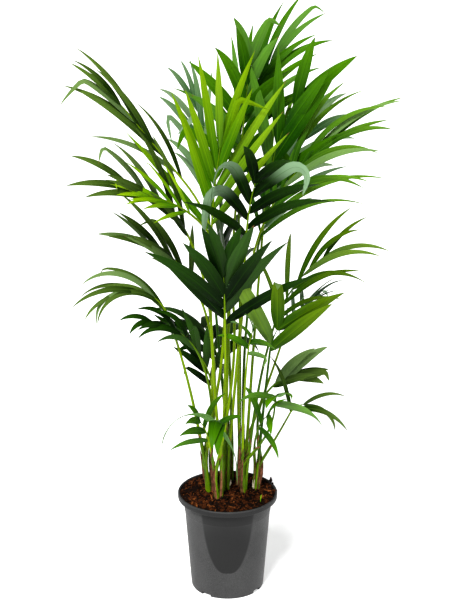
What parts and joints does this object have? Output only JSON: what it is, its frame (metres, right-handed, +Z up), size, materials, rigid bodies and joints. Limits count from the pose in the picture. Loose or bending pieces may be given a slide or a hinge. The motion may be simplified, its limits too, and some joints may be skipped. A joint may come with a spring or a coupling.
{
  "type": "potted kentia palm",
  "caption": "Upright feather palm with arching slim leaflets on bare green stalks, growing as a clump in a plain round nursery pot.",
  "frame": {"origin": "middle of the pot's flat underside", "axes": "+Z up; +Y away from the viewer of the picture, +X to the viewer's right"},
  "size_m": [0.6681, 0.5862, 1.2379],
  "materials": {
    "pot": "satin, fine grained",
    "soil": "loose coir and bark",
    "sheath": "fibrous sheath",
    "stalk": "smooth green stalk",
    "leaf_bright": "young leaf",
    "leaf_mid": "satin leaf",
    "leaf_dark": "satin leaf",
    "leaf_olive": "satin leaf",
    "leaf_pale": "satin leaf"
  },
  "bodies": {
    "root": {"frond_back_left": "leaf_pale", "frond_back_low_left": "leaf_dark", "frond_back_low_right": "leaf_olive", "frond_back_mid": "leaf_dark", "frond_back_right": "leaf_pale", "frond_center_dark": "leaf_dark", "frond_center_high": "leaf_dark", "frond_left_bright": "leaf_bright", "frond_left_high": "leaf_dark", "frond_left_low_1": "leaf_olive", "frond_left_low_2": "leaf_dark", "frond_left_low_3": "leaf_dark", "frond_left_mid": "leaf_dark", "frond_left_mid_high": "leaf_dark", "frond_low_center": "leaf_mid", "frond_low_front": "leaf_mid", "frond_low_left": "leaf_mid", "frond_low_right": "leaf_dark", "frond_right_high": "leaf_mid", "frond_right_low_1": "leaf_dark", "frond_right_low_2": "leaf_dark", "frond_right_mid": "leaf_dark", "frond_right_top": "leaf_mid", "frond_small_center": "leaf_mid", "frond_spear": "leaf_bright", "frond_top": "leaf_mid", "frond_top_right": "leaf_mid", "frond_yellow_front": "leaf_bright", "pot": "pot", "soil": "soil", "stalk_back_left": "stalk", "stalk_back_low_left": "stalk", "stalk_back_low_right": "stalk", "stalk_back_mid": "stalk", "stalk_back_right": "stalk", "stalk_center_dark": "stalk", "stalk_center_high": "stalk", "stalk_left_bright": "stalk", "stalk_left_high": "stalk", "stalk_left_low_1": "stalk", "stalk_left_low_2": "stalk", "stalk_left_low_3": "stalk", "stalk_left_mid": "stalk", "stalk_left_mid_high": "stalk", "stalk_right_high": "stalk", "stalk_right_low_1": "stalk", "stalk_right_mid": "stalk", "stalk_right_top": "stalk", "stalk_spear": "stalk", "stalk_top": "stalk", "stalk_top_right": "stalk", "stalk_yellow_front": "stalk", "stem_a": "sheath", "stem_b": "sheath", "stem_c": "sheath", "stem_e": "sheath", "stem_g": "sheath", "stem_i": "sheath", "stem_k": "sheath", "stem_m": "sheath"}
  },
  "joints": []
}
